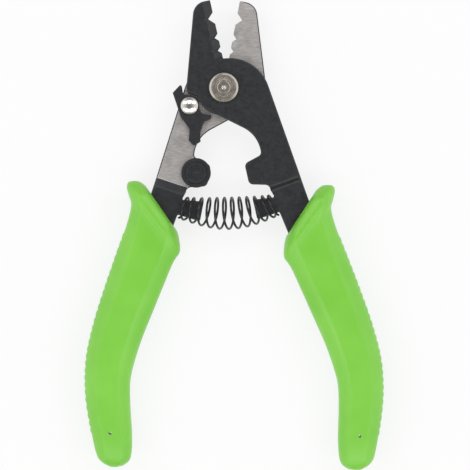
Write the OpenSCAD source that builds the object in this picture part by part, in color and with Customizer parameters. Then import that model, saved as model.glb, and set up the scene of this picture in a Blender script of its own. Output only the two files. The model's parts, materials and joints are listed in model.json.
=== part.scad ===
// Fibre stripper: two crossed steel levers that turn on one bolt, with three stripping
// notches in their jaws, a latch that holds them shut, a barrel return spring and
// moulded grips. It is modelled open.
//
// Frame: the bolt's axis is Z, the jaws point along +Y, and z = 0 is the plane that the
// tool lies on. Each lever is drawn shut, in lever coordinates: u runs outward from the
// line where the two cutting edges meet, v runs from the bolt's axis towards the jaw
// tips, and w runs from the plane between the levers out through the lever's own plate.
// side is 1 for the front lever and -1 for the rear one, which is turned over.

/* [Levers] */
// Thickness of each lever plate
plate_t = 3; // [2.6:0.1:3.4]
// Angle between the levers when the tool is open
open_angle = 23.4; // [21:0.2:23.6]
// Sideways distance from the bolt's axis to the line where the cutting edges meet
cut_offset = 0.9; // [0.6:0.1:1.2]
// Distance from the bolt's axis to the jaw tips
jaw_reach = 30.5; // [29.5:0.1:32]
// Distance from the bolt's axis to the buried ends of the tangs
tang_reach = 96; // [88:1:104]
// Radius, about the bolt, of each lever's round flank
flank_r = 9.6; // [9.4:0.1:9.8]
// Length along the tang of the step that brings both tangs into one plane
step_run = 1.9; // [1.7:0.1:2.4]
// Radius of the bends in that step
bend_r = 1.6; // [1:0.1:2]
// Running gap between the levers, and under the bolt's head
lever_gap = 0.04; // [0.02:0.01:0.1]

/* [Stripping notches] */
// How far each toothed edge runs past the line where the edges meet
bite = 1.05; // [0.9:0.05:1.2]
// Width across flats of the three square holes that the notches make when shut
hole_flats = [1.4, 0.35, 0.14];
// Distances of the three holes from the bolt's axis
hole_reach = [24.2, 17.4, 12.9];
// Width of the sloping relief behind each toothed edge
relief_w = 2.8; // [2:0.1:3.4]
// Thickness that the relief leaves at the toothed edge
edge_t = 1.7; // [1.4:0.1:2.2]
// Diameter of the relief groove behind each notch
groove_d = 1.3; // [1:0.1:1.5]

/* [Pivot bolt] */
// Diameter of the bolt's shoulder
bolt_d = 6; // [5:0.5:7]
// Radial running clearance of a lever or latch on its pin
run_fit = 0.04; // [0.02:0.01:0.08]
// Diameter of the bolt's head
head_d = 10; // [9:0.5:12]
// Height of the bolt's head
head_h = 1.9; // [1.4:0.1:2.6]
// Diameter of the raised disc on the head
boss_d = 6.3; // [5:0.1:7]
// Diameter of the bolt's threaded end
thread_d = 5; // [4:0.5:5]
// Diameter of the washer under the nut
washer_d = 10.4; // [9.6:0.2:12]
// Thickness of the washer under the nut
washer_t = 0.5; // [0.3:0.1:1]
// Width across flats of the nut
nut_flats = 8; // [7:0.5:9]
// Height of the nut
nut_h = 3.5; // [2.7:0.1:4]

/* [Stop stud] */
// Diameter of the stop stud's disc
stop_d = 10.2; // [9:0.1:10.4]
// Height of the stop stud's disc
stop_h = 2.2; // [1.6:0.1:2.6]
// Distance of the stop stud from the bolt's axis, along the tool
stop_reach = 30.6; // [30.2:0.1:31]
// Diameter of the shanks of the stop stud
stop_shank_d = 4.6; // [3:0.2:5]

/* [Latch] */
// Thickness of the latch plate
latch_t = 2; // [1.6:0.1:2.4]
// Diameter of the latch rivet's shank
latch_shank_d = 3.2; // [2.6:0.2:3.6]
// Diameter of the latch rivet's domed head
latch_head_d = 5.9; // [5:0.1:6.2]
// Height of the latch rivet's domed head
latch_head_h = 1.7; // [1.2:0.1:2]
// Diameter of the closed ends of the rivets, behind the rear lever
rivet_end_d = 6.6; // [5.6:0.2:7]
// Height of the closed ends of the rivets
rivet_end_h = 0.9; // [0.6:0.1:1.2]

/* [Return spring] */
// Diameter of the spring's wire
wire_d = 0.8; // [0.6:0.05:1]
// Number of turns in the spring
turns = 12; // [10:1:13]
// Outer diameter of the spring's middle turns
barrel_d = 11.6; // [10.4:0.2:12]
// Width of each spring tab where it leaves the tang
tab_w = 5.3; // [4.8:0.1:5.8]
// Extra width of the spring tab at its end, which keeps the spring on
tab_flare = 1.7; // [1:0.1:2]
// Distance of the spring tabs from the bolt's axis, along the tool
tab_reach = 43.3; // [43:0.1:45]
// How far the spring bows away from the bolt
spring_bow = 2.5; // [1.8:0.1:2.8]
// How far the front of each turn leans towards the left tang
spring_lean = 1.1; // [0:0.1:1.2]
// Clearance of the spring's end turns round the tabs
spring_fit = 0.2; // [0.15:0.05:0.3]

/* [Grips] */
// Thickness of the grips at their middle
grip_t = 12.4; // [11:0.2:13.6]
// Height of the two ridges along each face of a grip
ridge_h = 0.35; // [0.2:0.05:0.5]
// Clearance between a tang and the pocket of its grip
pocket_fit = 0.05; // [0.03:0.01:0.1]
// How much further up its tang the left grip sits than the right one
left_seat = 3.2; // [0:0.2:4]
// How much nearer the middle the left grip sits
left_inset = 1.3; // [0:0.1:1.6]
// Distance of the first rib from the bolt's axis, along the tool
rib_start = 59; // [57:1:62]
// Number of fine ribs on a grip's outer edge
rib_count = 28; // [20:1:28]
// Spacing of the ribs along the grip
rib_pitch = 2.5; // [2:0.1:2.5]
// Height of the ribs
rib_h = 0.35; // [0.2:0.05:0.5]
// Diameter of the small vent hole near a grip's end
vent_d = 1; // [0.8:0.1:1.4]

/* [Hidden] */
$fn = 64;

// Height of the plane between the levers above the plane that the tool lies on
lift = lever_gap/2 + plate_t + washer_t + nut_h;
// Clearance that is left where two parts shut against each other
stop_gap = 0.05;
// Angle of the step line across a tang, and its place at the tang's middle. The bend
// starts just past the stop stud.
step_tilt = 7.5;
step_at = [12.6, -stop_reach - stop_d/2 - 0.17];
// Height of the hub's top edge above the bolt's axis
hub_top = 9.8;
// Fall of that edge towards the outside, and the radius that carries it into the tang's outer edge
hub_fall = 1;
hub_r = 14.5;
// u of the stop lobe's face, and the radius of its corners
lobe_face = 0.3;
lobe_r = 1.8;
// Centre of the stop stud and of the latch rivet, in lever coordinates
stop_at = [stop_d/2 + stop_gap - lobe_face, -stop_reach];
latch_at = [11.4, -8.3];
// Inner and outer edge of a tang: a point, and how far u moves for each step of v
tang_inner = [7.1, -38];
tang_inner_slope = -0.171;
tang_outer = [17, -26];
tang_outer_slope = -0.12;
// End face of the spring tabs; they just clear each other when the tool is shut
tab_end = 0.4;
tab_root = tang_u(tang_inner, tang_inner_slope, -tab_reach);
// Inner diameter of the spring's end turns, round the root of a tab
spring_end_id = norm([tab_w, plate_t]) + 2*spring_fit;

// u of a tang edge at height v
function tang_u(point, slope, v) = point.x + slope*(v - point.y);

// Turns a vector by an angle
function turned(p, angle) = [p.x*cos(angle) - p.y*sin(angle), p.x*sin(angle) + p.y*cos(angle)];

// Place in the XY plane of the point [u, v] of a lever, with the tool open
function at_rest(side, p) = turned([cut_offset + side*p.x, p.y], side*open_angle/2);

// Arc that rounds the corner b, coming from a and leaving to c; corners are [x, y, radius]
function corner_arc(a, b, c) = let(
        corner = [b.x, b.y],
        back = ([a.x, a.y] - corner)/norm([a.x, a.y] - corner),
        ahead = ([c.x, c.y] - corner)/norm([c.x, c.y] - corner),
        half = acos(back*ahead)/2,
        middle = corner + (back + ahead)/norm(back + ahead)*b[2]/sin(half),
        first = corner + back*b[2]/tan(half) - middle,
        turn = sign(cross(first, corner - middle))*(180 - 2*half),
        steps = max(2, ceil(abs(turn)/10)))
    [for (i = [0:steps]) middle + turned(first, turn*i/steps)];

// Outline with its corners rounded
function rounded(corners) = let(n = len(corners))
    [for (i = [0:n - 1]) let(b = corners[i])
        each b[2] == 0 ? [[b.x, b.y]] : corner_arc(corners[(i + n - 1)%n], b, corners[(i + 1)%n])];

// Carries lever coordinates to the lever's place in the open tool
module on_lever(side)
    translate([0, 0, lift]) rotate([0, 0, side*open_angle/2])
        translate([cut_offset, 0, 0]) rotate([0, side > 0 ? 0 : 180, 0]) children();

// ---- Levers ----

// Toothed edge from the hub to the tip: a square notch for each hole
function toothed_edge() = [for (i = [len(hole_reach) - 1:-1:0])
    let(root = -hole_flats[i]/sqrt(2), half = bite - root, v = hole_reach[i])
        each [[bite, v - half, 0.35], [root, v, 0], [bite, v + half, 0.35]]];

// Round flank between the latch shoulder and the window
function flank() = [for (a = [184:5:244]) [flank_r*cos(a) - cut_offset, flank_r*sin(a), 0]];

// Window, stop lobe, spring tab and tang, down the inside and back up the outside
function inner_corners() = [
    [6.8, -18.3, 11], [6.7, -25.3, 1.6],
    [lobe_face, -stop_reach + 3.5, lobe_r], [lobe_face, -stop_reach - 3.8, lobe_r], [7, -stop_reach - 5.5, lobe_r],
    [tang_inner.x, tang_inner.y, 0],
    [tab_root, -tab_reach + tab_w/2, 0.5],
    [tab_end, -tab_reach + (tab_w + tab_flare)/2, 0.6],
    [tab_end, -tab_reach - (tab_w + tab_flare)/2, 0.6],
    [tang_u(tang_inner, tang_inner_slope, -tab_reach - tab_w/2), -tab_reach - tab_w/2, 0.5],
    [tang_u(tang_inner, tang_inner_slope, -tang_reach), -tang_reach, 2.5],
    [tang_u(tang_outer, tang_outer_slope, -tang_reach), -tang_reach, 2.5]];

module lever_outline()
    polygon(rounded(concat(
        [[bite, jaw_reach, 0.3], [-4.6, jaw_reach, 4.8], [-13.4, 3.1, 3], [-13.5, 1, 0.8]],
        flank(),
        inner_corners(),
        [[tang_u(tang_outer, tang_outer_slope, hub_top - hub_fall), hub_top - hub_fall, hub_r], [bite, hub_top, 0.3]],
        toothed_edge())));

// Section along the tang through the plate and its step; x runs towards the jaws
module step_section() {
    far = 2*tang_reach;
    drop = plate_t/2;
    turn = atan(drop/step_run);
    lead = plate_t/2*tan(turn/2);
    polygon(rounded([
        [far, 0, 0], [far, plate_t, 0], [-lead, plate_t, bend_r],
        [-step_run + lead, plate_t - drop, bend_r], [-far, plate_t - drop, 0],
        [-far, -drop, 0], [-step_run - lead, -drop, bend_r], [lead, 0, bend_r]]));
}

// Stepped sheet that the lever's outline is cut from
module stepped_sheet()
    translate([step_at.x, step_at.y, lever_gap/2]) rotate([0, 0, 90 + step_tilt]) rotate([90, 0, 0])
        linear_extrude(height = 2*tang_reach, center = true) step_section();

// Slope on the outer face behind the toothed edge, with a groove behind each notch
module jaw_relief() {
    slope = atan((plate_t - edge_t)/relief_w);
    beyond = 2;
    translate([bite, jaw_reach + 1, lever_gap/2 + edge_t]) rotate([90, 0, 0])
        linear_extrude(height = jaw_reach + 1 - 10.2)
            polygon([[-relief_w - beyond, (relief_w + beyond)*tan(slope)],
                [beyond, -beyond*tan(slope)], [beyond, plate_t]]);
    for (v = hole_reach)
        translate([bite + 0.5, v, lever_gap/2 + edge_t]) rotate([0, slope, 0])
            translate([0, 0, groove_d/6]) rotate([0, -90, 0]) cylinder(d = groove_d, h = relief_w + 2, $fn = 24);
}

module lever(side) on_lever(side)
    difference() {
        intersection() {
            stepped_sheet();
            linear_extrude(height = 4*plate_t, center = true) lever_outline();
        }
        jaw_relief();
        translate([-side*cut_offset, 0, 0]) cylinder(d = bolt_d + 2*run_fit, h = 4*plate_t, center = true);
        if (side < 0) {
            translate(stop_at) cylinder(d = stop_shank_d, h = 4*plate_t, center = true);
            translate(latch_at) cylinder(d = latch_shank_d, h = 4*plate_t, center = true);
        }
    }

module front_lever() color([0.12, 0.12, 0.13]) lever(1);

module rear_lever() color([0.68, 0.66, 0.65]) lever(-1);

// ---- Pivot ----

// Turned bolt: bevelled head with a raised, grooved disc, a shoulder and a threaded end
module pivot_bolt() color([0.72, 0.68, 0.62]) {
    under = lift + plate_t + lever_gap*1.5;
    bevel = 0.7;
    thread_top = washer_t + nut_h;
    rotate_extrude() polygon([
        [0, 0], [thread_d/2 - 0.4, 0], [thread_d/2, 0.4], [thread_d/2, thread_top],
        [bolt_d/2, thread_top], [bolt_d/2, under], [head_d/2, under],
        [head_d/2, under + head_h - bevel], [head_d/2 - bevel, under + head_h],
        [boss_d/2 + 0.35, under + head_h], [boss_d/2 + 0.2, under + head_h - 0.3],
        [boss_d/2, under + head_h - 0.3], [boss_d/2 - 0.1, under + head_h + 0.15],
        [boss_d/2 - 0.9, under + head_h + 0.2], [boss_d/2 - 1.1, under + head_h + 0.05],
        [0.75, under + head_h], [0.55, under + head_h + 0.12], [0, under + head_h - 0.25]]);
}

module pivot_washer() color([0.7, 0.7, 0.72])
    translate([0, 0, nut_h]) difference() {
        cylinder(d = washer_d, h = washer_t);
        translate([0, 0, -1]) cylinder(d = thread_d, h = washer_t + 2);
    }

module pivot_nut() color([0.7, 0.7, 0.72])
    intersection() {
        difference() {
            cylinder(d = nut_flats/cos(30), h = nut_h, $fn = 6);
            translate([0, 0, -1]) cylinder(d = thread_d, h = nut_h + 2);
        }
        // Chamfers at both ends of the nut
        rotate_extrude() polygon([[0, 0], [nut_flats/2*0.96, 0], [nut_flats/2*1.16, 0.5],
            [nut_flats/2*1.16, nut_h - 0.5], [nut_flats/2*0.96, nut_h], [0, nut_h]]);
    }

// ---- Stop stud and latch ----

// Closed end of a rivet behind the rear lever
function rivet_end(shank_d) = let(back = lever_gap/2 + plate_t, h = rivet_end_h)
    [[shank_d/2, back], [rivet_end_d/2, back], [rivet_end_d/2, back + h*0.5],
        [rivet_end_d/2 - 0.6, back + h], [0, back + h]];

// Turned stud that the front lever's lobe shuts against
module stop_stud() color([0.1, 0.1, 0.11]) on_lever(-1) translate(stop_at)
    rotate_extrude() polygon(concat([
        [0, 0.3 - stop_h], [0.5, -stop_h], [1.6, -stop_h], [1.75, 0.2 - stop_h],
        [2.4, 0.2 - stop_h], [2.55, -stop_h], [stop_d/2 - 1.4, -stop_h],
        [stop_d/2 - 1.2, 0.35 - stop_h], [stop_d/2 - 0.3, 0.35 - stop_h], [stop_d/2, 0.65 - stop_h],
        [stop_d/2, lever_gap/2], [stop_shank_d/2, lever_gap/2]], rivet_end(stop_shank_d)));

// Latch plate round its rivet: a pawl that props the front lever's shoulder when the tool
// is shut, a thumb prong towards the bolt and a tail
latch_corners = [
    [6.5, 3.3, 0.5], [4.4, 6.6, 0.5], [3.8, 6.1, 0.4], [2.9, 3.6, 0.8],
    [-2.4, 3.3, 2.2], [-3.6, -0.6, 1.2], [-4.8, -1.8, 0.8], [-8.2, -1.9, 0.3], [-8, -3.2, 0.4],
    [-5.9, -4.6, 1.5], [-5.4, -8.5, 3], [-6.1, -11.5, 0.4], [-4, -13.3, 0.5], [-2, -11.8, 0.5],
    [-1.6, -7.8, 2.5], [2.1, -4.6, 4]];

module latch() color([0.13, 0.13, 0.14]) on_lever(-1) translate(latch_at)
    translate([0, 0, -latch_t]) difference() {
        linear_extrude(height = latch_t) polygon(rounded(latch_corners));
        translate([0, 0, -1]) cylinder(d = latch_shank_d + 2*run_fit, h = latch_t + 2);
    }

// Domed rivet that the latch swings on
module latch_rivet() color([0.8, 0.78, 0.74]) on_lever(-1) translate(latch_at) {
    under = latch_t + run_fit;
    crown = 5;
    edge_h = latch_head_h - 1;
    rotate_extrude() polygon(concat(
        [for (a = [0:6:30]) [latch_head_d/2*sin(a)/sin(30), -under - edge_h - crown*(cos(a) - cos(30))/crown/0.134]],
        [[latch_head_d/2, -under], [latch_shank_d/2, -under]],
        rivet_end(latch_shank_d)));
}

// ---- Return spring ----

// Places where the spring's axis meets the two tangs, and the line between them
spring_from = at_rest(-1, [tab_root, -tab_reach]);
spring_span = at_rest(1, [tab_root, -tab_reach]) - spring_from;
// Angle between a tang's inner edge and the tool's middle line
tang_angle = open_angle/2 + atan(-tang_inner_slope);

// Share of the spring's length passed after n turns; the first and last turn lie closer
function spring_pace(n) = let(tight = 0.6)
    (min(n, 1)*tight + max(0, min(n, turns - 1) - 1) + max(0, n - turns + 1)*tight)/(turns - 2 + 2*tight);

// Centre of the wire at t from 0 to 1 along the spring. The end turns lie along the tangs,
// and the turns between them bow away from the bolt.
function wire_point(t) = let(
        start = (wire_d/2 + 0.15)/norm(spring_span),
        s = start + (1 - 2*start)*spring_pace(turns*t),
        across = turned(spring_span, 90 - tang_angle*(1 - 2*s))/norm(spring_span),
        end_r = (spring_end_id + wire_d)/2,
        r = end_r + ((barrel_d - wire_d)/2 - end_r)*pow(sin(180*s), 1.2),
        spin = 360*turns*t + 180,
        axis = spring_from + spring_span*s + turned(spring_span, -90)/norm(spring_span)*spring_bow*sin(180*s),
        p = axis + across*r*cos(spin) - spring_span/norm(spring_span)*spring_lean*sin(spin))
    [p.x, p.y, lift + r*sin(spin)];

function unit(v) = v/norm(v);

// Ring of the wire's section at t
function wire_ring(t, faces) = let(
        d = 0.0005, along = unit(wire_point(t + d) - wire_point(t - d)),
        up = unit(cross(along, cross([0, 0, 1], along))),
        out = cross(up, along))
    [for (i = [0:faces - 1]) let(a = 360*i/faces)
        wire_point(t) + (up*sin(a) + out*cos(a))*wire_d/2];

// Closed skin through rings that each have the same number of points
module skin(rings) {
    n = len(rings[0]);
    last = len(rings) - 1;
    polyhedron(
        points = [for (ring = rings) each ring],
        faces = concat(
            [[for (j = [0:n - 1]) j]],
            [for (i = [0:last - 1], j = [0:n - 1]) let(k = (j + 1)%n)
                [i*n + j, (i + 1)*n + j, (i + 1)*n + k, i*n + k]],
            [[for (j = [n - 1:-1:0]) last*n + j]]));
}

module return_spring() color([0.08, 0.08, 0.09]) {
    steps = turns*18;
    skin([for (i = [0:steps]) wire_ring(i/steps, 6)]);
}

// ---- Grips ----

// Place of the vent hole
vent_at = [18.4, -127.2];
// The tool lies on its nut and its two guards, so a guard bulges as far as the nut stands
// below the grip's middle
guard_swell = 2*lift/grip_t;
// Sections of a grip from its mouth to its end, each [outer edge u, v, inner edge u, v,
// thickness over the grip's own]. The first six form the slanting guard; from rib_row on
// they are rib_step apart along the outer edge.
rib_row = 6;
rib_step = 12;
grip_stations = [
    [22.6, -41.3, 8.8, -54.8, 0.58], [25.2, -40.3, 7.8, -56.8, 0.94], [28.3, -41.1, 6.7, -60.2, guard_swell],
    [28.7, -43.1, 6.7, -62.3, guard_swell - 0.05], [27.5, -45.8, 7.5, -64, 1.01], [26.1, -49, 8.4, -66.8, 0.97],
    [26.4, -56, 9.9, -74, 0.98], [28.2, -68, 11.9, -84, 1.01], [29.9, -80, 13.7, -93, 1.02],
    [31.2, -92, 14.8, -101.5, 1.02], [31.4, -104, 15, -108.5, 1], [29.3, -116, 13.5, -116.5, 0.96],
    [25.1, -128, 10.9, -127, 0.88], [21.9, -135.4, 10, -134.2, 0.75], [19.6, -137.8, 11.6, -137.2, 0.58],
    [16.6, -138.8, 14, -138.5, 0.3]];

// Station at t, counted in stations, on a smooth curve through them all
function grip_station(t) = let(
        last = len(grip_stations) - 1, i = min(floor(t), last - 1), f = t - i,
        p0 = grip_stations[max(i - 1, 0)], p1 = grip_stations[i],
        p2 = grip_stations[i + 1], p3 = grip_stations[min(i + 2, last)])
    (2*p1 + (p2 - p0)*f + (2*p0 - 5*p1 + 4*p2 - p3)*f*f + (3*p1 - p0 - 3*p2 + p3)*f*f*f)/2;

// Half of a grip's section, from outer to inner edge: [place across, height]. The two
// highest points each side are the ridges, and the flat panel lies between them.
grip_profile = [[1, 0], [0.965, 0.34], [0.84, 0.64], [0.66, 0.88], [0.52, 1], [0.44, 1]];

// Ring of a grip at station t; ribs push its outer edge out by rib, and the ridges fade
// in below the guard
function grip_ring(t, rib) = let(
        s = grip_station(t), outer = [s[0], s[1]], inner = [s[2], s[3]],
        middle = (outer + inner)/2, half = (outer - inner)/2,
        h = s[4]*grip_t/2, ridge = ridge_h*min(1, max(0, t - rib_row)),
        top = concat(grip_profile, [for (i = [len(grip_profile) - 1:-1:0]) [-grip_profile[i][0], grip_profile[i][1]]]),
        n = len(top))
    [for (i = [0:2*n - 3])
        let(p = top[i < n ? i : 2*n - 2 - i], up = i < n ? 1 : -1,
            out = p[0] > 0.9 ? rib*(1 - p[1]) : 0,
            panel = abs(p[0]) < 0.48 ? ridge : 0,
            at = middle + half*p[0] + unit(half)*out)
        [at.x, at.y, up*(p[1]*h - panel)]];

// Rings of a grip: two for each station, and in the ribbed stretch two for each rib
function grip_rings() = let(
        first = rib_row + (rib_start + grip_stations[rib_row][1])/rib_step,
        last = first + rib_count*rib_pitch/rib_step,
        end = len(grip_stations) - 1)
    concat(
        [for (t = [0:0.5:first - 0.2]) grip_ring(t, 0)],
        [for (i = [0:2*rib_count]) grip_ring(first + (last - first)*i/(2*rib_count), i%2 == 1 ? rib_h : 0)],
        [for (t = [ceil(2*last + 0.2)/2:0.5:end]) grip_ring(t, 0)]);

// Moulded grip with the pocket for its tang, pushed shift further onto its lever
module grip(side, shift) on_lever(side)
    difference() {
        translate([shift.x, shift.y, 0]) skin(grip_rings());
        linear_extrude(height = plate_t + 2*pocket_fit, center = true)
            offset(delta = pocket_fit) lever_outline();
        translate([shift.x + vent_at.x, shift.y + vent_at.y, 0])
            cylinder(d = vent_d, h = 2*grip_t, center = true, $fn = 24);
    }

module left_grip() color([0.45, 0.82, 0.2]) grip(-1, [-left_inset, left_seat]);

module right_grip() color([0.45, 0.82, 0.2]) grip(1, [0, 0]);

front_lever();
rear_lever();
pivot_bolt();
pivot_washer();
pivot_nut();
stop_stud();
latch();
latch_rivet();
return_spring();
left_grip();
right_grip();
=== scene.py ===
"""Looks of the fibre stripper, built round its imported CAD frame.

Shapes are worked out in millimetres, in the same lever coordinates as the CAD source:
u runs outward from the line where the cutting edges meet, v from the bolt's axis towards
the jaw tips, and w outward from the plane between the levers. side is 1 for the front
lever (right handle) and -1 for the rear one, which is turned over.
"""

import json
import math

import bmesh
import bpy
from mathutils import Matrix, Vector
from mathutils.geometry import delaunay_2d_cdt

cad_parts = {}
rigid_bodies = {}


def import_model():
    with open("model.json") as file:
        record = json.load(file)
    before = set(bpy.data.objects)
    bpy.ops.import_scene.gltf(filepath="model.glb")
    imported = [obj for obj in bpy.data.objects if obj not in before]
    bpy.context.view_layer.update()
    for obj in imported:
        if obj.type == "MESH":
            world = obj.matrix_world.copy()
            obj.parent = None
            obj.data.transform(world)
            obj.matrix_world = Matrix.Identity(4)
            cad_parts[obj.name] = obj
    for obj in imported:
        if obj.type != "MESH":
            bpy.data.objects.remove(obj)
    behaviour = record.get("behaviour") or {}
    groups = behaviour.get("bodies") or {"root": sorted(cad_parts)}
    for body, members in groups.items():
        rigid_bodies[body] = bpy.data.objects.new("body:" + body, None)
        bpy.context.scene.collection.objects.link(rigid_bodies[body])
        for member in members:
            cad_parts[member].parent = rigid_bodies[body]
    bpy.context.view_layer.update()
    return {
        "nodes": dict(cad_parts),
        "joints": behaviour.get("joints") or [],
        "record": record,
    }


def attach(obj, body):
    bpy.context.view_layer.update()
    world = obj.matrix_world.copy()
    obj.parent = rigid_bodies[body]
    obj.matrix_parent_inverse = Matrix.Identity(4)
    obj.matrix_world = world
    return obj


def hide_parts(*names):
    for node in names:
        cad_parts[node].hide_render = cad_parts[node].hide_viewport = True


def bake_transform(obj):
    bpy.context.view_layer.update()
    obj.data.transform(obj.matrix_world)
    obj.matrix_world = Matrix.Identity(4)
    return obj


for leftover in list(bpy.data.objects):
    bpy.data.objects.remove(leftover)
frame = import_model()

MM = 0.001
JOINT = {j["name"]: j for j in frame["joints"]}
# Height of the plane between the levers
LIFT = JOINT["handle_close"]["pos_m"][2] / MM
OPEN_ANGLE = JOINT["handle_close"]["range_deg"][1]
CUT_OFFSET = 0.9
PLATE_T = 3.0
LEVER_GAP = 0.04


# ---- Places ----

def turned(x, y, degrees):
    """The vector (x, y) turned by an angle."""
    c, s = math.cos(math.radians(degrees)), math.sin(math.radians(degrees))
    return x * c - y * s, x * s + y * c


def at_rest(side, u, v, w=0.0):
    """Place in the row frame, in metres, of a point of a lever with the tool open."""
    x, y = turned(CUT_OFFSET + side * u, v, side * OPEN_ANGLE / 2)
    return Vector((x, y, LIFT + side * w)) * MM


def lever_place(side, p):
    """Lever coordinates (u, v, w) of a point of the row frame, in millimetres."""
    x, y = turned(p[0] / MM, p[1] / MM, -side * OPEN_ANGLE / 2)
    return side * (x - CUT_OFFSET), y, side * (p[2] / MM - LIFT)


def curve_through(points, t):
    """Catmull-Rom curve through rows of numbers, at t counted in rows."""
    last = len(points) - 1
    i = min(int(t), last - 1)
    f = t - i
    before, a, b, after = points[max(i - 1, 0)], points[i], points[i + 1], points[min(i + 2, last)]
    return [
        (2 * q + (r - p) * f + (2 * p - 5 * q + 4 * r - s) * f * f + (3 * q - p - 3 * r + s) * f**3) / 2
        for p, q, r, s in zip(before, a, b, after)
    ]


def smooth_step(low, high, x):
    """0 below low, 1 above high, and smooth between them."""
    t = min(1.0, max(0.0, (x - low) / (high - low)))
    return t * t * (3 - 2 * t)


# ---- Meshes ----

def new_object(name, mesh, material):
    mesh.materials.append(material)
    made = bpy.data.objects.new(name, mesh)
    bpy.context.scene.collection.objects.link(made)
    return made


def skin(name, rings, material):
    """Closed tube through rings that each have the same number of points."""
    count = len(rings[0])
    points = [p for ring in rings for p in ring]
    faces = [list(range(count - 1, -1, -1))]
    for i in range(len(rings) - 1):
        for j in range(count):
            k = (j + 1) % count
            faces.append([i * count + j, i * count + k, (i + 1) * count + k, (i + 1) * count + j])
    start = (len(rings) - 1) * count
    faces.append([start + j for j in range(count)])
    mesh = bpy.data.meshes.new(name)
    mesh.from_pydata(points, [], faces)
    mesh.shade_smooth()
    return new_object(name, mesh, material)


def plate(name, node, side, outline, rim, front, back, holes, detail, material):
    """A stamped plate with rolled rims, which stands for a CAD node.

    outline: (u, v, share) points, where share is the part of the rim radius used there.
    front and back: w of the plate's two faces at (u, v); front is the one with the larger w.
    holes: (u, v, radius). detail: extra (u, v) points where the faces bend.
    """
    steps = 5
    count = len(outline)
    flat = [Vector((u, v)) for u, v, share in outline]
    inward = []
    for i, here in enumerate(flat):
        ahead = (flat[(i + 1) % count] - here).normalized()
        back_dir = (here - flat[i - 1]).normalized()
        normal = Vector((-ahead.y - back_dir.y, ahead.x + back_dir.x))
        inward.append(normal / max(normal.length_squared / 2, 0.9))
    loops = []
    for i in range(steps + 1):
        a = math.pi / 2 * i / steps
        loops.append([
            (p + n * (rim * share * (1 - math.cos(a))), rim * share * (1 - math.sin(a)))
            for p, n, (u, v, share) in zip(flat, inward, outline)
        ])
    inner = [p for p, drop in loops[-1]]
    points, edges = list(inner), [(i, (i + 1) % count) for i in range(count)]
    bores = []
    for u, v, radius in holes:
        first, n = len(points), 64
        points += [Vector((u + radius * math.cos(2 * math.pi * i / n), v + radius * math.sin(2 * math.pi * i / n))) for i in range(n)]
        edges += [(first + i, first + (i + 1) % n) for i in range(n)]
        bores.append((first, n))
    bounds = [(p.x, p.y) for p in inner]
    for u, v in detail:
        if inside(u, v, bounds) and clearance(u, v, inner) > 0.06:
            points.append(Vector((u, v)))
    filled = delaunay_2d_cdt(points, edges, [], 0, 1e-6)
    if len(filled[0]) != len(points):
        raise ValueError(f"{name}: outline crosses itself")
    faces = []
    for face in filled[2]:
        middle = sum((points[i] for i in face), Vector((0, 0))) / 3
        in_bore = any((middle - Vector((u, v))).length < radius for u, v, radius in holes)
        if inside(middle.x, middle.y, bounds) and not in_bore:
            faces.append(face)
    verts, all_faces = [], []

    def rows(surface, sign):
        """Rim loops and fill of one face; returns the first vertex of its outermost loop."""
        start = len(verts)
        for loop in loops[:-1]:
            verts.extend(at_rest(side, p.x, p.y, surface(p.x, p.y) - sign * drop) for p, drop in loop)
        fill = len(verts)
        verts.extend(at_rest(side, p.x, p.y, surface(p.x, p.y)) for p in points)
        for i in range(steps):
            low, high = start + i * count, start + (i + 1) * count
            for j in range(count):
                k = (j + 1) % count
                quad = [low + j, low + k, high + k, high + j]
                all_faces.append(quad if sign > 0 else quad[::-1])
        all_faces.extend([fill + i for i in (face if sign > 0 else face[::-1])] for face in faces)
        return start, fill

    front_start, front_fill = rows(front, 1)
    back_start, back_fill = rows(back, -1)
    for j in range(count):
        k = (j + 1) % count
        all_faces.append([back_start + j, back_start + k, front_start + k, front_start + j])
    for first, n in bores:
        for i in range(n):
            j, k = first + i, first + (i + 1) % n
            all_faces.append([front_fill + j, front_fill + k, back_fill + k, back_fill + j])
    mesh = bpy.data.meshes.new(name)
    mesh.from_pydata(verts, [], all_faces)
    work = bmesh.new()
    work.from_mesh(mesh)
    bmesh.ops.recalc_face_normals(work, faces=work.faces)
    work.to_mesh(mesh)
    work.free()
    mesh.shade_smooth()
    mesh.set_sharp_from_angle(angle=math.radians(32))
    made = new_object(name, mesh, material)
    level = made.modifiers.new("flat_faces", "WEIGHTED_NORMAL")
    level.keep_sharp, level.weight = True, 100
    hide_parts(node)
    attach(made, body_of_node(node))
    return made


def inside(u, v, loop):
    """Whether (u, v) lies in the closed outline loop."""
    odd = False
    for (ax, ay), (bx, by) in zip(loop, loop[1:] + loop[:1]):
        if (ay > v) != (by > v) and u < ax + (v - ay) * (bx - ax) / (by - ay):
            odd = not odd
    return odd


def clearance(u, v, loop):
    """Distance from (u, v) to the nearest point of the loop."""
    return min(math.hypot(p.x - u, p.y - v) for p in loop)


def corner_arc(a, b, c, fine=4):
    """Points that round the corner b, coming from a and leaving to c."""
    corner = Vector(b[:2])
    back = (Vector(a[:2]) - corner).normalized()
    ahead = (Vector(c[:2]) - corner).normalized()
    half = math.acos(max(-1, min(1, back.dot(ahead)))) / 2
    middle = corner + (back + ahead).normalized() * (b[2] / math.sin(half))
    first = corner + back * (b[2] / math.tan(half)) - middle
    turn = math.degrees(math.pi - 2 * half)
    towards = corner - middle
    if first.x * towards.y - first.y * towards.x < 0:
        turn = -turn
    steps = max(2, math.ceil(abs(turn) / fine))
    return [(*(middle + Vector(turned(first.x, first.y, turn * i / steps))), b[3]) for i in range(steps + 1)]


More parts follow.
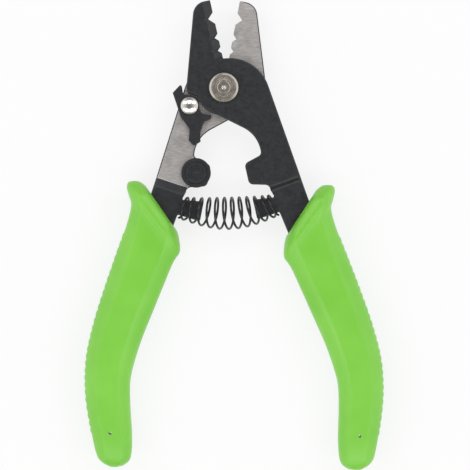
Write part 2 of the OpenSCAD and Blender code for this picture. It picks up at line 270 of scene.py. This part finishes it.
def rounded_outline(corners, spacing):
    """Outline through (u, v, radius, share) corners; spacing(u, v) is its longest piece there."""
    n = len(corners)
    loop = []
    for i, b in enumerate(corners):
        loop += corner_arc(corners[i - 1], b, corners[(i + 1) % n]) if b[2] else [(b[0], b[1], b[3])]
    fine = []
    for (au, av, ashare), (bu, bv, bshare) in zip(loop, loop[1:] + loop[:1]):
        length = math.hypot(bu - au, bv - av)
        if length < 1e-4:
            continue
        pieces = max(1, math.ceil(length / min(spacing(au, av), spacing(bu, bv), spacing((au + bu) / 2, (av + bv) / 2))))
        for i in range(pieces):
            t = i / pieces
            fine.append((au + (bu - au) * t, av + (bv - av) * t, ashare + (bshare - ashare) * t))
    area = sum(a[0] * b[1] - a[1] * b[0] for a, b in zip(fine, fine[1:] + fine[:1]))
    return fine if area > 0 else fine[::-1]


def body_of_node(node):
    for body, nodes in frame["record"]["behaviour"]["bodies"].items():
        if node in nodes:
            return body
    raise KeyError(node)


# ---- Materials ----

def new_material(name, base, roughness, metallic=0.0, **sockets):
    made = bpy.data.materials.new(name)
    made.use_nodes = True
    shader = made.node_tree.nodes["Principled BSDF"]
    shader.inputs["Base Color"].default_value = (*base, 1.0)
    shader.inputs["Roughness"].default_value = roughness
    shader.inputs["Metallic"].default_value = metallic
    for socket, value in sockets.items():
        shader.inputs[socket.replace("_", " ")].default_value = value
    return made, made.node_tree, shader


def add(tree, kind, inputs=None, **settings):
    """Adds a shader node. inputs maps a socket to a value or to another node's output."""
    made = tree.nodes.new(kind)
    for key, value in settings.items():
        setattr(made, key, value)
    for socket, value in (inputs or {}).items():
        if isinstance(value, bpy.types.NodeSocket):
            tree.links.new(value, made.inputs[socket])
        else:
            made.inputs[socket].default_value = value
    return made


def noise(tree, scale, detail=3.0, stretch=(1.0, 1.0, 1.0), turn=0.0):
    """Noise in the object's own coordinates, stretched and turned about Z."""
    place = add(tree, "ShaderNodeTexCoord")
    mapping = add(
        tree, "ShaderNodeMapping",
        {"Vector": place.outputs["Object"], "Rotation": (0.0, 0.0, math.radians(turn)), "Scale": stretch},
    )
    found = add(tree, "ShaderNodeTexNoise", {"Vector": mapping.outputs["Vector"], "Scale": scale, "Detail": detail})
    return found.outputs["Fac"]


def between(tree, value, low, high, first, last):
    """value from low..high carried to first..last."""
    found = add(
        tree, "ShaderNodeMapRange",
        {"Value": value, "From Min": low, "From Max": high, "To Min": first, "To Max": last},
    )
    return found.outputs["Result"]


def tint(tree, factor, first, last):
    """Colour between two colours."""
    found = add(tree, "ShaderNodeMix", data_type="RGBA")
    tree.links.new(factor, found.inputs[0])
    found.inputs[6].default_value = (*first, 1.0)
    found.inputs[7].default_value = (*last, 1.0)
    return found.outputs[2]


def bump(tree, shader, height, strength, distance):
    made = add(tree, "ShaderNodeBump", {"Height": height, "Strength": strength, "Distance": distance})
    tree.links.new(made.outputs["Normal"], shader.inputs["Normal"])


def black_oxide(name="black_oxide"):
    """Blackened, tumbled steel: satin, slightly blue, with fine mottling."""
    made, tree, shader = new_material(name, (0.02, 0.021, 0.025), 0.4)
    mottle = noise(tree, 420, 5)
    color = tint(tree, between(tree, mottle, 0.3, 0.7, 0, 1), (0.013, 0.0135, 0.016), (0.022, 0.0235, 0.028))
    tree.links.new(color, shader.inputs["Base Color"])
    tree.links.new(between(tree, noise(tree, 900, 4), 0.3, 0.7, 0.34, 0.5), shader.inputs["Roughness"])
    bump(tree, shader, noise(tree, 2600, 3), 0.12, 0.00005)
    return made


def lever_steel(name, side):
    """Black oxide with the face next to the other lever ground bright."""
    made, tree, shader = new_material(name, (0.02, 0.021, 0.025), 0.4)
    mottle = noise(tree, 420, 5)
    black = tint(tree, between(tree, mottle, 0.3, 0.7, 0, 1), (0.013, 0.0135, 0.016), (0.022, 0.0235, 0.028))
    grain_turn = -side * OPEN_ANGLE / 2
    grain = noise(tree, 2600, 4, (0.22, 1.0, 1.0), grain_turn)
    cloud = noise(tree, 300, 3)
    ground = tint(tree, between(tree, grain, 0.3, 0.7, 0, 1), (0.43, 0.405, 0.39), (0.6, 0.57, 0.555))
    # The ground face is the flat one at the plane between the levers
    place = add(tree, "ShaderNodeTexCoord")
    split = add(tree, "ShaderNodeSeparateXYZ", {"Vector": place.outputs["Object"]})
    off = add(tree, "ShaderNodeMath", {0: split.outputs["Z"], 1: LIFT * MM}, operation="SUBTRACT")
    depth = add(tree, "ShaderNodeMath", {0: off.outputs[0]}, operation="ABSOLUTE")
    is_ground = between(tree, depth.outputs[0], 0.00004, 0.00005, 1, 0)
    color = add(tree, "ShaderNodeMix", data_type="RGBA")
    tree.links.new(is_ground, color.inputs[0])
    tree.links.new(black, color.inputs[6])
    tree.links.new(ground, color.inputs[7])
    tree.links.new(color.outputs[2], shader.inputs["Base Color"])
    tree.links.new(is_ground, shader.inputs["Metallic"])
    satin = between(tree, noise(tree, 900, 4), 0.3, 0.7, 0.34, 0.5)
    worn = between(tree, cloud, 0.3, 0.7, 0.42, 0.55)
    rough = add(tree, "ShaderNodeMix", {0: is_ground, 2: satin, 3: worn}, data_type="FLOAT")
    tree.links.new(rough.outputs[0], shader.inputs["Roughness"])
    bump(tree, shader, grain, 0.15, 0.00005)
    return made


def turned_metal(name, base, roughness, centre, pitch, rings_strength):
    """Plated metal with the fine rings that a lathe leaves round centre."""
    made, tree, shader = new_material(name, base, roughness, 1.0)
    place = add(tree, "ShaderNodeTexCoord")
    shift = add(tree, "ShaderNodeVectorMath", {0: place.outputs["Object"], 1: (*centre, 0.0)}, operation="SUBTRACT")
    flat = add(tree, "ShaderNodeVectorMath", {0: shift.outputs[0], 1: (1.0, 1.0, 0.0)}, operation="MULTIPLY")
    reach = add(tree, "ShaderNodeVectorMath", {0: flat.outputs[0]}, operation="LENGTH")
    rings = add(tree, "ShaderNodeMath", {0: reach.outputs["Value"], 1: 2 * math.pi / (pitch * MM)}, operation="MULTIPLY")
    wave = add(tree, "ShaderNodeMath", {0: rings.outputs[0]}, operation="SINE")
    bump(tree, shader, wave.outputs[0], rings_strength, 0.00003)
    tree.links.new(between(tree, noise(tree, 700, 3), 0.3, 0.7, roughness * 0.8, roughness * 1.3), shader.inputs["Roughness"])
    return made


def green_plastic():
    """Moulded lime-green plastic with a faint flow pattern."""
    made, tree, shader = new_material("green_plastic", (0.22, 0.62, 0.06), 0.34)
    flow = noise(tree, 60, 2)
    color = tint(tree, between(tree, flow, 0.35, 0.65, 0, 1), (0.205, 0.6, 0.052), (0.235, 0.64, 0.066))
    tree.links.new(color, shader.inputs["Base Color"])
    tree.links.new(between(tree, noise(tree, 500, 3), 0.3, 0.7, 0.3, 0.4), shader.inputs["Roughness"])
    bump(tree, shader, noise(tree, 3000, 2), 0.05, 0.00004)
    return made


def spring_wire():
    made, tree, shader = new_material("spring_wire", (0.012, 0.012, 0.013), 0.3)
    tree.links.new(between(tree, noise(tree, 1500, 3), 0.3, 0.7, 0.22, 0.4), shader.inputs["Roughness"])
    bump(tree, shader, noise(tree, 4000, 2), 0.08, 0.00003)
    return made


# ---- Grips ----

GRIP_T = 12.4
GUARD_SWELL = 2 * LIFT / GRIP_T
RIDGE_H = 0.35
RIB_ROW, RIB_STEP = 6, 12
RIB_START, RIB_COUNT, RIB_PITCH, RIB_H = 59, 28, 2.5, 0.3
LEFT_SHIFT = (-1.3, 3.2)
VENT_AT, VENT_D = (18.4, -127.2), 1.0
# Sections from the mouth to the end: outer edge u, v, inner edge u, v, thickness over GRIP_T
GRIP_STATIONS = [
    [22.6, -41.3, 8.8, -54.8, 0.58], [25.2, -40.3, 7.8, -56.8, 0.94],
    [28.3, -41.1, 6.7, -60.2, GUARD_SWELL], [28.7, -43.1, 6.7, -62.3, GUARD_SWELL - 0.05],
    [27.5, -45.8, 7.5, -64, 1.01], [26.1, -49, 8.4, -66.8, 0.97],
    [26.4, -56, 9.9, -74, 0.98], [28.2, -68, 11.9, -84, 1.01],
    [29.9, -80, 13.7, -93, 1.02], [31.2, -92, 14.8, -101.5, 1.02],
    [31.4, -104, 15, -108.5, 1], [29.3, -116, 13.5, -116.5, 0.96],
    [25.1, -128, 10.9, -127, 0.88], [21.9, -135.4, 10, -134.2, 0.75],
    [19.6, -137.8, 11.6, -137.2, 0.58], [16.6, -138.8, 14, -138.5, 0.3],
]
# A quarter of a section: place across, height
GRIP_PROFILE = [[1, 0], [0.985, 0.22], [0.94, 0.42], [0.84, 0.64], [0.66, 0.88], [0.5, 1], [0.25, 1], [0, 1]]
PROFILE_STEPS = 4


def grip_section():
    """Half a section from the outer edge over the top to the inner edge."""
    steps = (len(GRIP_PROFILE) - 1) * PROFILE_STEPS
    quarter = [curve_through(GRIP_PROFILE, i / PROFILE_STEPS) for i in range(steps + 1)]
    return quarter + [[-a, h] for a, h in reversed(quarter[:-1])]


def grip_ring(side, shift, t, rib):
    """Ring of a grip at station t; rib pushes its outer edge out."""
    row = curve_through(GRIP_STATIONS, t)
    outer, inner = Vector(row[0:2]), Vector(row[2:4])
    middle, half = (outer + inner) / 2, (outer - inner) / 2
    ridge = RIDGE_H * smooth_step(RIB_ROW - 0.5, RIB_ROW + 1.5, t) * (1 - smooth_step(12.3, 13.5, t))
    top = grip_section()
    ring = []
    for up, section in ((1, top), (-1, top[-2:0:-1])):
        for across, height in section:
            out = rib * (1 - smooth_step(0.15, 0.6, height)) if across > 0 else 0.0
            panel = ridge * (1 - smooth_step(0.44, 0.54, abs(across)))
            place = middle + half * across + half.normalized() * out
            thick = min(height, 1.0) * min(row[4], GUARD_SWELL) * GRIP_T / 2
            w = up * min(LIFT, thick + (panel if height > 0.5 else 0))
            ring.append(at_rest(side, place[0] + shift[0], place[1] + shift[1], w))
    return ring if side > 0 else ring[::-1]


def grip_rings(side, shift):
    first = RIB_ROW + (RIB_START + GRIP_STATIONS[RIB_ROW][1]) / RIB_STEP
    last = first + RIB_COUNT * RIB_PITCH / RIB_STEP
    end = len(GRIP_STATIONS) - 1
    fine, per_rib = 8, 8
    rings = [(i / fine, 0.0) for i in range(int(first * fine))]
    for i in range(RIB_COUNT * per_rib + 1):
        wave = abs(math.sin(math.pi * i / per_rib)) ** 0.8
        rings.append((first + (last - first) * i / (RIB_COUNT * per_rib), RIB_H * wave))
    rings += [(i / fine, 0.0) for i in range(int(last * fine) + 2, end * fine + 1)]
    return [grip_ring(side, shift, t, rib) for t, rib in rings]


def drill(obj, centre, radius):
    """Cuts a small hole through obj, along Z."""
    bpy.ops.mesh.primitive_cylinder_add(vertices=32, radius=radius, depth=0.05, location=centre)
    tool = bpy.context.object
    cut = obj.modifiers.new("vent", "BOOLEAN")
    cut.operation, cut.solver, cut.object = "DIFFERENCE", "EXACT", tool
    applied = bpy.data.meshes.new_from_object(obj.evaluated_get(bpy.context.evaluated_depsgraph_get()))
    obj.modifiers.clear()
    obj.data = applied
    bpy.data.objects.remove(tool)


def grip(name, node, side, shift, material):
    made = skin(name, grip_rings(side, shift), material)
    drill(made, at_rest(side, VENT_AT[0] + shift[0], VENT_AT[1] + shift[1]), VENT_D / 2 * MM)
    made.data.set_sharp_from_angle(angle=math.radians(50))
    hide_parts(node)
    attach(made, body_of_node(node))
    return made


# ---- Spring ----

WIRE_D, TURNS, BARREL_D, SPRING_BOW, SPRING_LEAN = 0.8, 12, 11.6, 2.5, 1.1
TAB_W, TAB_REACH, SPRING_FIT = 5.3, 43.3, 0.2
TANG_POINT, TANG_SLOPE = (7.1, -38), -0.171
SPRING_END_R = (math.hypot(TAB_W, PLATE_T) + 2 * SPRING_FIT + WIRE_D) / 2
TIGHT = 0.6


def spring_pace(n):
    """Share of the spring's length passed after n turns; the end turns lie closer."""
    tight = min(n, 1) * TIGHT + max(0, n - TURNS + 1) * TIGHT
    return (tight + max(0, min(n, TURNS - 1) - 1)) / (TURNS - 2 + 2 * TIGHT)


def spring_ends():
    """Places where the spring's axis meets the two tangs."""
    root = TANG_POINT[0] + TANG_SLOPE * (-TAB_REACH - TANG_POINT[1])
    return at_rest(-1, root, -TAB_REACH), at_rest(1, root, -TAB_REACH)


def wire_point(t):
    """Centre of the wire at t from 0 to 1 along the spring."""
    start, stop = spring_ends()
    span = stop - start
    margin = (WIRE_D / 2 + 0.15) * MM / span.length
    s = margin + (1 - 2 * margin) * spring_pace(TURNS * t)
    tang_angle = OPEN_ANGLE / 2 + math.degrees(math.atan(-TANG_SLOPE))
    across = Vector((*turned(span.x, span.y, 90 - tang_angle * (1 - 2 * s)), 0)).normalized()
    aside = Vector((*turned(span.x, span.y, -90), 0)).normalized()
    rise = math.sin(math.pi * s)
    radius = SPRING_END_R + ((BARREL_D - WIRE_D) / 2 - SPRING_END_R) * rise**1.2
    spin = 2 * math.pi * TURNS * t + math.pi
    lean = span.normalized() * (SPRING_LEAN * MM * math.sin(spin))
    axis = start + span * s + aside * (SPRING_BOW * MM * rise) - lean
    return axis + across * (radius * MM * math.cos(spin)) + Vector((0, 0, radius * MM * math.sin(spin)))


def return_spring(material):
    steps, sides, nudge = TURNS * 40, 12, 0.0004
    rings = []
    for i in range(steps + 1):
        t = i / steps
        along = (wire_point(t + nudge) - wire_point(t - nudge)).normalized()
        up = along.cross(Vector((0, 0, 1)).cross(along)).normalized()
        out = up.cross(along)
        end_share = 0.6 if i in (0, steps) else 1.0
        rings.append([
            wire_point(t) + (up * math.sin(a) + out * math.cos(a)) * (WIRE_D / 2 * MM * end_share)
            for a in (2 * math.pi * j / sides for j in range(sides))
        ])
    made = skin("return_spring_wire", rings, material)
    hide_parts("return_spring")
    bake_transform(made)
    return made


# ---- Levers, pins and latch ----

JAW_REACH, TANG_REACH, FLANK_R, HUB_TOP, HUB_R = 30.5, 96.0, 9.6, 9.8, 14.1
BITE, HOLE_FLATS, HOLE_REACH = 1.05, (1.4, 0.35, 0.14), (24.2, 17.4, 12.9)
RELIEF_W, EDGE_T, GROOVE_D, RELIEF_END = 2.8, 1.7, 1.3, 10.2
STEP_RUN, BEND_R, STEP_TILT = 1.9, 1.6, 7.5
STOP_D, STOP_REACH, STOP_SHANK_D, LOBE_FACE, LOBE_R = 10.2, 30.6, 4.6, 0.3, 1.8
STOP_AT = (STOP_D / 2 + 0.05 - LOBE_FACE, -STOP_REACH)
STEP_AT = (12.6, -STOP_REACH - STOP_D / 2 - 0.17)
LATCH_AT, LATCH_T, LATCH_SHANK_D = (11.4, -8.3), 2.0, 3.2
TANG_OUTER, TANG_OUTER_SLOPE = (17, -26), -0.12
TAB_FLARE, TAB_END, BOLT_D, RUN_FIT = 1.7, 0.4, 6.0, 0.04


def tang_inner(v):
    return TANG_POINT[0] + TANG_SLOPE * (v - TANG_POINT[1])


def tang_outer(v):
    return TANG_OUTER[0] + TANG_OUTER_SLOPE * (v - TANG_OUTER[1])


def lever_corners():
    """Corners (u, v, radius, share of the rim) of a lever; the toothed edge stays sharp."""
    teeth = []
    for flats, v in reversed(list(zip(HOLE_FLATS, HOLE_REACH))):
        root = -flats / math.sqrt(2)
        half = BITE - root
        teeth += [(BITE, v - half, 0.35, 0.06), (root, v, 0, 0.06), (BITE, v + half, 0.35, 0.06)]
    flank = [
        (FLANK_R * math.cos(math.radians(a)) - CUT_OFFSET, FLANK_R * math.sin(math.radians(a)), 0, 1)
        for a in range(184, 245, 4)
    ]
    tab_low, tab_high = -TAB_REACH - TAB_W / 2, -TAB_REACH + TAB_W / 2
    flare = (TAB_W + TAB_FLARE) / 2
    return [
        (BITE, JAW_REACH, 0.3, 0.06), (-4.6, JAW_REACH, 4.8, 1), (-13.4, 3.1, 3, 1), (-13.5, 1, 0.8, 1),
        *flank,
        (6.8, -18.3, 11, 1), (6.7, -25.3, 1.6, 1),
        (LOBE_FACE, -STOP_REACH + 3.5, LOBE_R, 1), (LOBE_FACE, -STOP_REACH - 3.8, LOBE_R, 1),
        (7, -STOP_REACH - 5.5, LOBE_R, 1), (TANG_POINT[0], TANG_POINT[1], 0, 1),
        (tang_inner(-TAB_REACH), tab_high, 0.5, 1),
        (TAB_END, -TAB_REACH + flare, 0.6, 1), (TAB_END, -TAB_REACH - flare, 0.6, 1),
        (tang_inner(tab_low), tab_low, 0.5, 1),
        (tang_inner(-TANG_REACH), -TANG_REACH, 2.5, 1), (tang_outer(-TANG_REACH), -TANG_REACH, 2.5, 1),
        (tang_outer(HUB_TOP - 1), HUB_TOP - 1, HUB_R, 1), (BITE, HUB_TOP, 0.3, 0.06),
        *teeth,
    ]


def folded(s, high, low, top, bottom, radius):
    """Height of a sheet that falls from top at s = high to bottom at s = low, with round bends."""
    theta = math.atan((top - bottom) / (high - low))
    reach = radius * math.tan(theta / 2)
    if s >= high + reach:
        return top
    if s <= low - reach:
        return bottom
    if s > high - reach * math.cos(theta):
        return top - radius + math.sqrt(radius**2 - (high + reach - s) ** 2)
    if s < low + reach * math.cos(theta):
        return bottom + radius - math.sqrt(radius**2 - (s - low + reach) ** 2)
    return top - (high - s) * math.tan(theta)


def step_place(u, v):
    """Distance along the tang, towards the jaws, from the line where the sheet steps."""
    a = math.radians(STEP_TILT)
    return -(u - STEP_AT[0]) * math.sin(a) + (v - STEP_AT[1]) * math.cos(a)


def lever_back(u, v):
    """The face next to the other lever."""
    lead = PLATE_T / 2 * math.tan(math.atan(PLATE_T / 2 / STEP_RUN) / 2)
    return LEVER_GAP / 2 + folded(step_place(u, v), lead, -STEP_RUN - lead, 0, -PLATE_T / 2, BEND_R)


def lever_front(u, v):
    """The outer face, with the relief and its grooves along the toothed edge."""
    lead = PLATE_T / 2 * math.tan(math.atan(PLATE_T / 2 / STEP_RUN) / 2)
    flat = LEVER_GAP / 2 + folded(step_place(u, v), -lead, -STEP_RUN + lead, PLATE_T, PLATE_T / 2, BEND_R)
    if v < RELIEF_END:
        return flat
    slope = (PLATE_T - EDGE_T) / RELIEF_W
    plane = LEVER_GAP / 2 + EDGE_T + (BITE - u) * slope
    up = math.hypot(1, slope)
    depth = plane
    for groove in HOLE_REACH:
        across = abs(v - groove)
        if across < GROOVE_D / 2:
            raised = 0.5 * slope / up + GROOVE_D / 6
            depth = min(depth, plane + (raised - math.sqrt((GROOVE_D / 2) ** 2 - across**2)) * up)
    return min(flat, max(depth, flat - (v - RELIEF_END) * 4))


def lever_detail():
    """Points on the bends of the step and on the relief."""
    found = []
    a = math.radians(STEP_TILT)
    for i in range(-14, 8):
        s = i * 0.25
        for j in range(-30, 31):
            along = j * 0.5
            found.append((
                STEP_AT[0] + along * math.cos(a) - s * math.sin(a), STEP_AT[1] + along * math.sin(a) + s * math.cos(a)
            ))
    for i in range(24):
        u = BITE - RELIEF_W + i * 0.16 - 0.8
        v = RELIEF_END - 0.02
        while v < JAW_REACH:
            found.append((u, v))
            v += 0.1 if any(abs(v + 0.05 - h) < 0.75 for h in HOLE_REACH) or v < RELIEF_END + 0.5 else 0.4
    return found


def lever_spacing(u, v):
    if v > 9.5 and u > -3:
        return 0.2
    return 0.3 if abs(step_place(u, v) + 1) < 3.5 else 2.5


def lever(name, node, side, material):
    holes = [(-side * CUT_OFFSET, 0, BOLT_D / 2 + RUN_FIT)]
    if side < 0:
        holes += [(*STOP_AT, STOP_SHANK_D / 2), (*LATCH_AT, LATCH_SHANK_D / 2)]
    # The rim fades out towards the foot of the toothed edge
    outline = [
        (u, v, min(share, 0.06 + 0.4 * math.hypot(u - BITE, v - HUB_TOP)))
        for u, v, share in rounded_outline(lever_corners(), lever_spacing)
    ]
    return plate(name, node, side, outline, 0.55, lever_front, lever_back, holes, lever_detail(), material)


# Corners of the latch about its rivet: u, v, radius
LATCH_CORNERS = [
    (6.5, 3.3, 0.5), (4.4, 6.6, 0.5), (3.8, 6.1, 0.4), (2.9, 3.6, 0.8),
    (-2.4, 3.3, 2.2), (-3.6, -0.6, 1.2), (-4.8, -1.8, 0.8), (-8.2, -1.9, 0.3), (-8, -3.2, 0.4),
    (-5.9, -4.6, 1.5), (-5.4, -8.5, 3), (-6.1, -11.5, 0.4), (-4, -13.3, 0.5), (-2, -11.8, 0.5),
    (-1.6, -7.8, 2.5), (2.1, -4.6, 4),
]


def latch(material):
    corners = [(LATCH_AT[0] + u, LATCH_AT[1] + v, r, 1) for u, v, r in LATCH_CORNERS]
    return plate(
        "latch_plate", "latch", -1, rounded_outline(corners, lambda u, v: 2.0), 0.22,
        lambda u, v: 0.0, lambda u, v: -LATCH_T, [(*LATCH_AT, LATCH_SHANK_D / 2 + RUN_FIT)], [], material,
    )


def metal_parts():
    black = black_oxide()
    pieces = [
        lever("front_lever_plate", "front_lever", 1, lever_steel("front_steel", 1)),
        lever("rear_lever_plate", "rear_lever", -1, lever_steel("rear_steel", -1)),
        latch(black),
    ]
    pivot = JOINT["handle_close"]["pos_m"][0:2]
    rivet = JOINT["latch_swing"]["pos_m"][0:2]
    nickel = turned_metal("turned_nickel", (0.66, 0.61, 0.54), 0.24, pivot, 0.6, 0.2)
    bright = turned_metal("rivet_steel", (0.78, 0.75, 0.7), 0.14, rivet, 0.5, 0.0)
    for node, material in (
        ("pivot_bolt", nickel), ("pivot_washer", nickel), ("pivot_nut", nickel),
        ("latch_rivet", bright), ("stop_stud", black),
    ):
        frame["nodes"][node].data.materials[0] = material


# ---- Stage ----

def softbox(name, azimuth, elevation, distance, size, power, aim):
    """A rectangular lamp that faces aim from a direction."""
    a, e = math.radians(azimuth), math.radians(elevation)
    back = Vector((math.sin(a) * math.cos(e), -math.cos(a) * math.cos(e), math.sin(e)))
    lamp = bpy.data.lights.new(name, "AREA")
    lamp.shape, lamp.size, lamp.size_y, lamp.energy = "RECTANGLE", size[0], size[1], power
    made = bpy.data.objects.new(name, lamp)
    made.location = aim + back * distance
    made.rotation_mode = "QUATERNION"
    made.rotation_quaternion = (-back).to_track_quat("-Z", "Y")
    bpy.context.scene.collection.objects.link(made)
    return made


def stage():
    scene = bpy.context.scene
    aim = Vector((0.003, -0.0508, LIFT * MM))
    # Floor: white to the camera and in reflections, and it keeps a faint shadow
    mesh = bpy.data.meshes.new("floor")
    reach = 1.2
    mesh.from_pydata(
        [(-reach, -reach, 0), (reach, -reach, 0), (reach, reach, 0), (-reach, reach, 0)], [], [[0, 1, 2, 3]]
    )
    paper = bpy.data.materials.new("paper")
    paper.use_nodes = True
    tree = paper.node_tree
    tree.nodes.clear()
    sheet = add(tree, "ShaderNodeBsdfDiffuse", {"Color": (0.9, 0.9, 0.9, 1)})
    glow = add(tree, "ShaderNodeEmission", {"Color": (1, 1, 1, 1), "Strength": 1.0})
    path = add(tree, "ShaderNodeLightPath")
    seen = add(tree, "ShaderNodeMath", {0: path.outputs["Is Camera Ray"], 1: path.outputs["Is Glossy Ray"]}, operation="MAXIMUM")
    share = add(tree, "ShaderNodeMath", {0: seen.outputs[0], 1: 0.8}, operation="MULTIPLY")
    mix = add(tree, "ShaderNodeMixShader", {0: share.outputs[0], 1: sheet.outputs[0], 2: glow.outputs[0]})
    out = add(tree, "ShaderNodeOutputMaterial")
    tree.links.new(mix.outputs[0], out.inputs["Surface"])
    floor = new_object("floor", mesh, paper)
    floor.location.z = -0.0002

    # Tent: dim overhead and at the far ends of the tool, brighter at its sides
    world = bpy.data.worlds.new("studio")
    scene.world = world
    world.use_nodes = True
    tree = world.node_tree
    place = add(tree, "ShaderNodeTexCoord")
    split = add(tree, "ShaderNodeSeparateXYZ", {"Vector": place.outputs["Generated"]})
    aside = add(tree, "ShaderNodeMath", {0: split.outputs["X"]}, operation="ABSOLUTE")
    sides = between(tree, aside.outputs[0], 0.2, 0.9, 0.3, 0.95)
    overhead = between(tree, split.outputs["Z"], 0.75, 0.97, 1.0, 0.6)
    level = add(tree, "ShaderNodeMath", {0: sides, 1: overhead}, operation="MULTIPLY")
    tree.links.new(level.outputs[0], tree.nodes["Background"].inputs["Strength"])
    tree.nodes["Background"].inputs["Color"].default_value = (1, 1, 1, 1)

    softbox("north", 180, 55, 0.9, (2.0, 0.36), 4.2, aim)
    softbox("south", 0, 55, 0.9, (2.0, 0.4), 4.8, aim)

    camera = bpy.data.cameras.new("camera")
    distance, view_width = 1.2, 0.16215
    camera.lens = camera.sensor_width * distance / view_width
    made = bpy.data.objects.new("camera", camera)
    made.location = aim + Vector((0, 0, distance))
    made.rotation_euler = (0, 0, math.radians(-0.96))
    scene.collection.objects.link(made)
    scene.camera = made
    scene.view_settings.view_transform = "Standard"


metal_parts()
green = green_plastic()
grip("left_grip_moulding", "left_grip", -1, LEFT_SHIFT, green)
grip("right_grip_moulding", "right_grip", 1, (0, 0), green)
return_spring(spring_wire())
stage()
